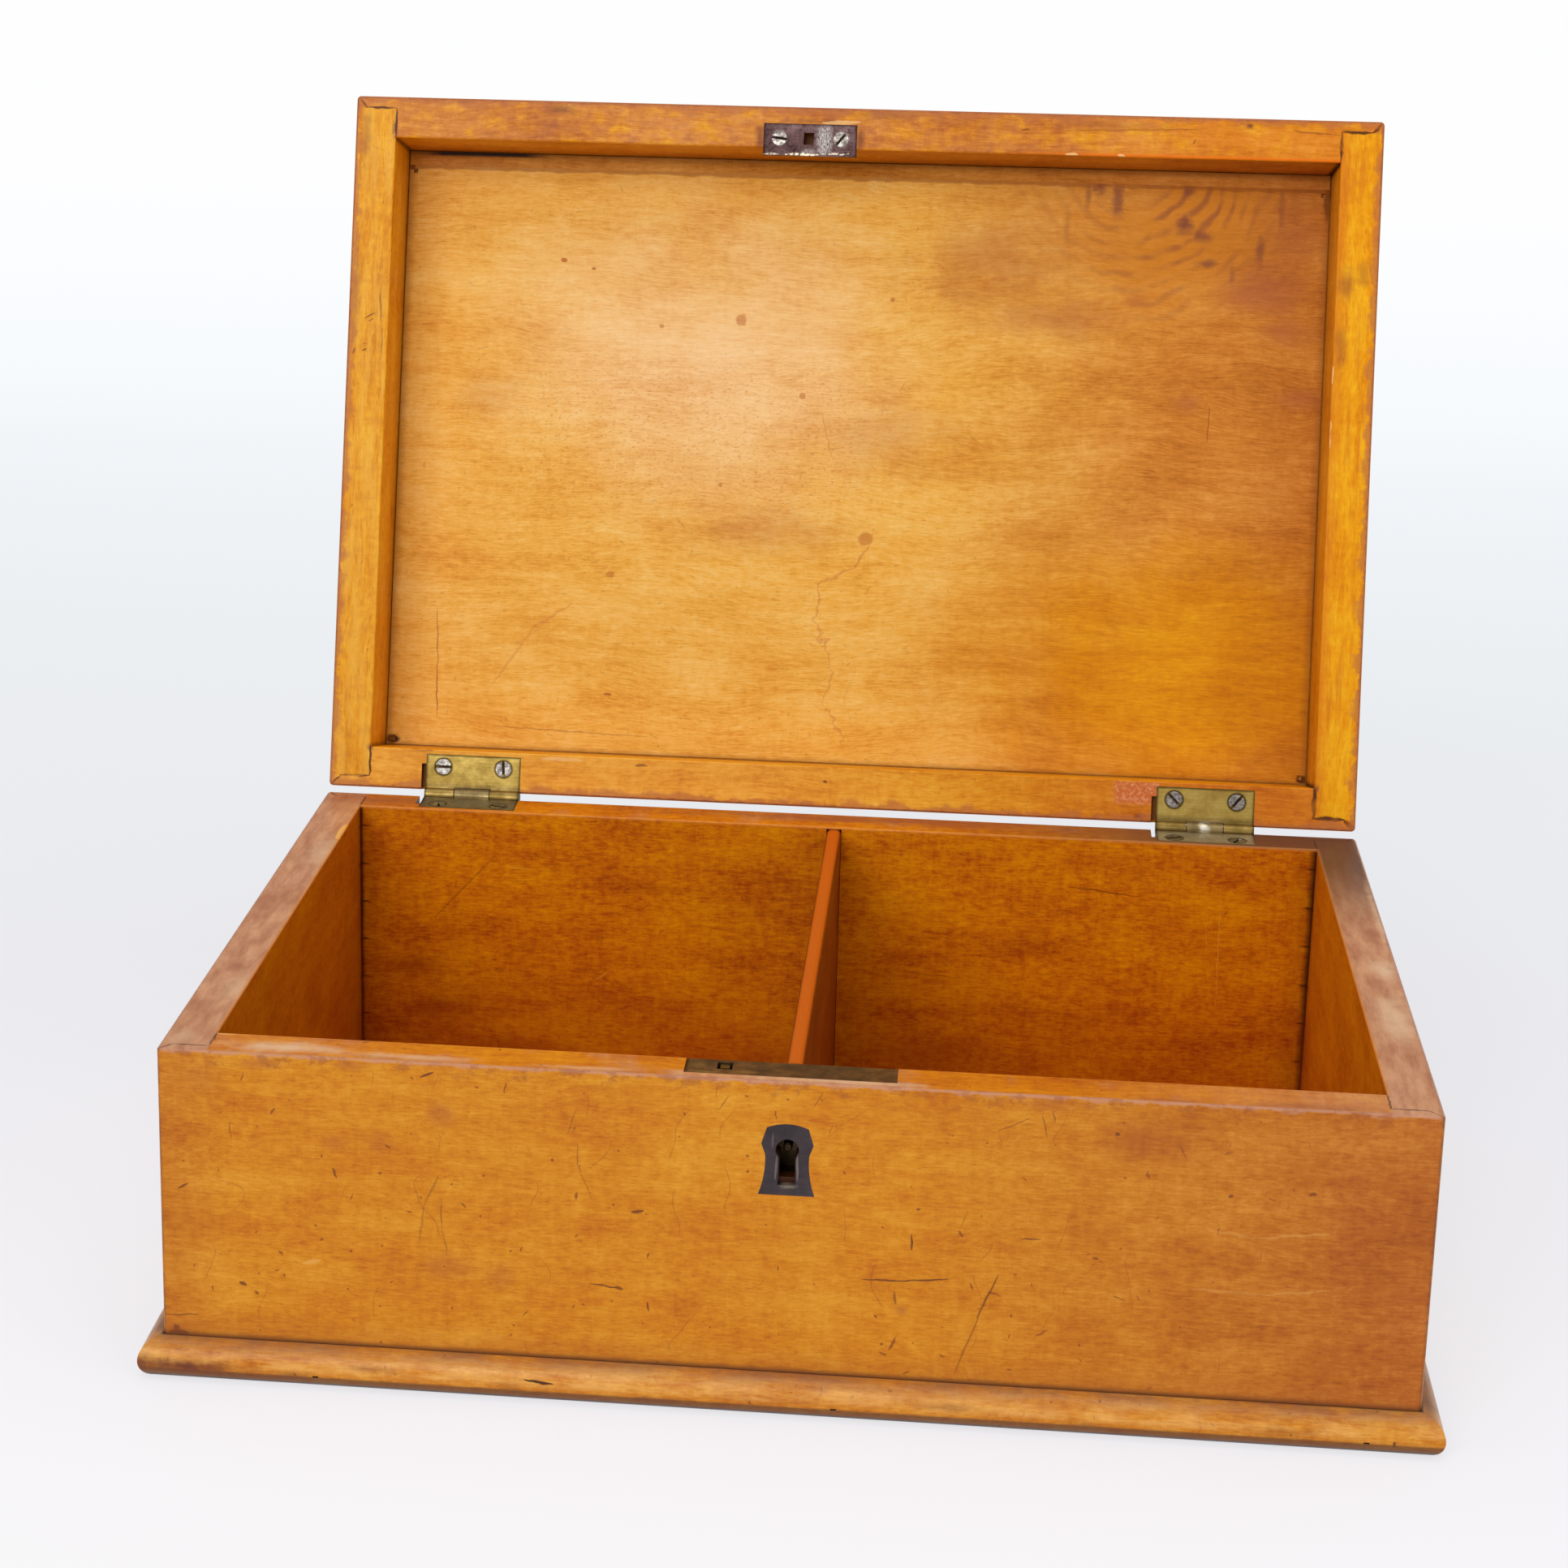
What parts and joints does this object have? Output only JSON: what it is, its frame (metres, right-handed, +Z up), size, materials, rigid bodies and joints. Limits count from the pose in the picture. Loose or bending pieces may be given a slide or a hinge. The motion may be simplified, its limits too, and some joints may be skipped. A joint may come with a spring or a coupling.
{
  "type": "ditty box",
  "caption": "Small antique lock-up wooden box with a hinged lid, a thin partition, brass butt hinges, a cut-in lock with an inlaid escutcheon and a half-round base moulding.",
  "frame": {"origin": "middle of the box's underside, on the face it stands on", "axes": "+X to the right along the front, +Y from the locked front to the hinged back, +Z up"},
  "size_m": [0.3158, 0.2999, 0.2874],
  "materials": {
    "carcass": "old amber varnish over figured maple",
    "lid_rails": "old amber varnish over maple",
    "panel": "thin golden finish over maple",
    "strip": "reddish stained strip",
    "divider": "worn pale finish",
    "base": "dark amber varnish",
    "floor_board": "bare aged wood",
    "escutcheon": "polished ebony, gone slate grey",
    "brass": "aged, dull",
    "iron": "dark, scratched bright",
    "screw_steel": "dull, slots worn",
    "pin_iron": "dark wire"
  },
  "bodies": {
    "box": {"front_board": "carcass", "back_board": "carcass", "left_side_board": "carcass", "right_side_board": "carcass", "bottom_board": "floor_board", "bottom_brads": "pin_iron", "moulding_brads": "pin_iron", "front_moulding": "base", "rear_moulding": "base", "left_moulding": "base", "right_moulding": "base", "partition": "divider", "escutcheon": "escutcheon", "lock_plate": "brass", "lock_screws": "screw_steel", "lock_case": "iron", "lock_rivets": "iron", "lock_key_pin": "screw_steel", "lock_spring": "iron", "lock_guide_stud": "iron", "left_hinge_lower_leaf": "brass", "right_hinge_lower_leaf": "brass", "hinge_lower_screws": "screw_steel"},
    "lid": {"left_hinge_upper_leaf": "brass", "right_hinge_upper_leaf": "brass", "left_hinge_pin": "pin_iron", "right_hinge_pin": "pin_iron", "hinge_upper_screws": "screw_steel", "lid_front_rail": "lid_rails", "lid_rear_rail": "lid_rails", "lid_left_rail": "lid_rails", "lid_right_rail": "lid_rails", "lid_panel": "panel", "lid_panel_strip": "strip", "strike_plate": "iron", "strike_screws": "screw_steel"},
    "bolt": {"lock_bolt": "brass"}
  },
  "joints": [
    {"name": "lid_hinge", "type": "hinge", "parent": "box", "child": "lid", "pos_m": [0, 0.10535, 0.08535], "axis": [-1, 0, 0], "range_deg": [-105, 75]},
    {"name": "bolt_slide", "type": "slide", "parent": "box", "child": "bolt", "axis": [0, 0, 1], "range_m": [0, 0.0044]}
  ]
}
